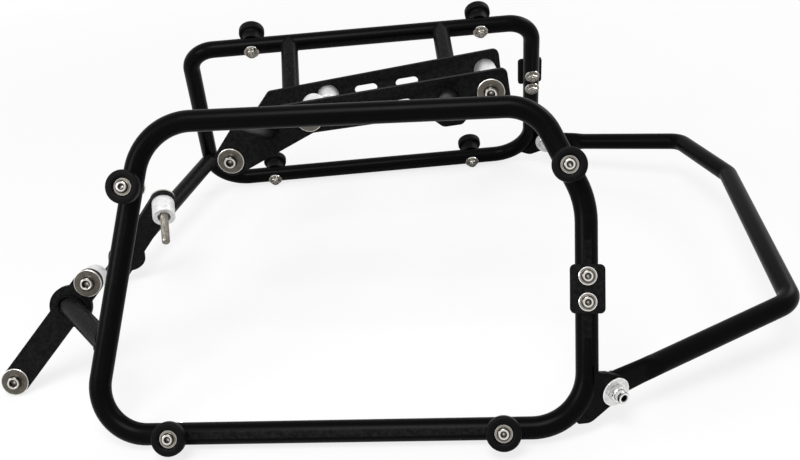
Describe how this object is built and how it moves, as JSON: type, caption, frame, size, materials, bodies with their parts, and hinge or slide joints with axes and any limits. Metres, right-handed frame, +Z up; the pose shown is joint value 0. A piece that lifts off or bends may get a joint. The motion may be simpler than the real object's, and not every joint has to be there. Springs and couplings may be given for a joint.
{
  "type": "pannier frame",
  "caption": "Motorcycle pannier frames: bent tube side hoops with mounting plates, foot bars and case pucks, joined behind the wheel by a crossbar.",
  "frame": {"origin": "middle of the whole set's footprint, on the plane it stands on", "axes": "+X to the rear of the motorcycle, +Y to its right side, +Z up"},
  "size_m": [0.7096, 0.6017, 0.2453],
  "materials": {
    "frame_steel": "satin black powder coat",
    "plate_steel": "matte black powder coat",
    "puck": "matte moulded plastic",
    "bolt_steel": "bright zinc plate",
    "washer_steel": "brushed, slightly bronzed",
    "spacer_metal": "turned, satin"
  },
  "bodies": {
    "root": {"left_hoop": "frame_steel", "right_hoop": "frame_steel", "left_front_stub": "frame_steel", "left_rear_stub": "frame_steel", "right_front_stub": "frame_steel", "right_rear_stub": "frame_steel", "left_upper_plate": "plate_steel", "right_upper_plate": "plate_steel", "left_plate_bolts": "bolt_steel", "right_plate_bolts": "bolt_steel", "left_plate_washers": "washer_steel", "right_plate_washers": "washer_steel", "left_plate_spacers": "spacer_metal", "right_plate_spacers": "spacer_metal", "left_puck_top_front_cap": "puck", "left_puck_top_rear_cap": "puck", "left_puck_bottom_front_cap": "puck", "left_puck_bottom_rear_cap": "puck", "right_puck_top_front_cap": "puck", "right_puck_top_rear_cap": "puck", "right_puck_bottom_front_cap": "puck", "right_puck_bottom_rear_cap": "puck", "left_puck_bolts": "bolt_steel", "right_puck_bolts": "bolt_steel", "left_puck_washers": "bolt_steel", "right_puck_washers": "bolt_steel", "left_puck_nuts": "bolt_steel", "right_puck_nuts": "bolt_steel", "left_lock_tab": "plate_steel", "right_lock_tab": "plate_steel", "left_tab_bolts": "bolt_steel", "right_tab_bolts": "bolt_steel", "left_tab_washers": "bolt_steel", "right_tab_washers": "bolt_steel", "left_tab_nuts": "bolt_steel", "right_tab_nuts": "bolt_steel", "left_foot_arm": "frame_steel", "right_foot_arm": "frame_steel", "left_foot_bar": "plate_steel", "right_foot_bar": "plate_steel", "left_foot_bolts": "bolt_steel", "right_foot_bolts": "bolt_steel", "left_foot_washers": "washer_steel", "right_foot_washers": "washer_steel", "left_foot_spacer": "spacer_metal", "right_foot_spacer": "spacer_metal", "left_foot_nut": "bolt_steel", "right_foot_nut": "bolt_steel", "left_gusset": "plate_steel", "right_gusset": "plate_steel", "rear_crossbar": "frame_steel", "crossbar_bolts": "bolt_steel", "crossbar_washers": "bolt_steel", "crossbar_nuts": "bolt_steel"}
  },
  "joints": []
}
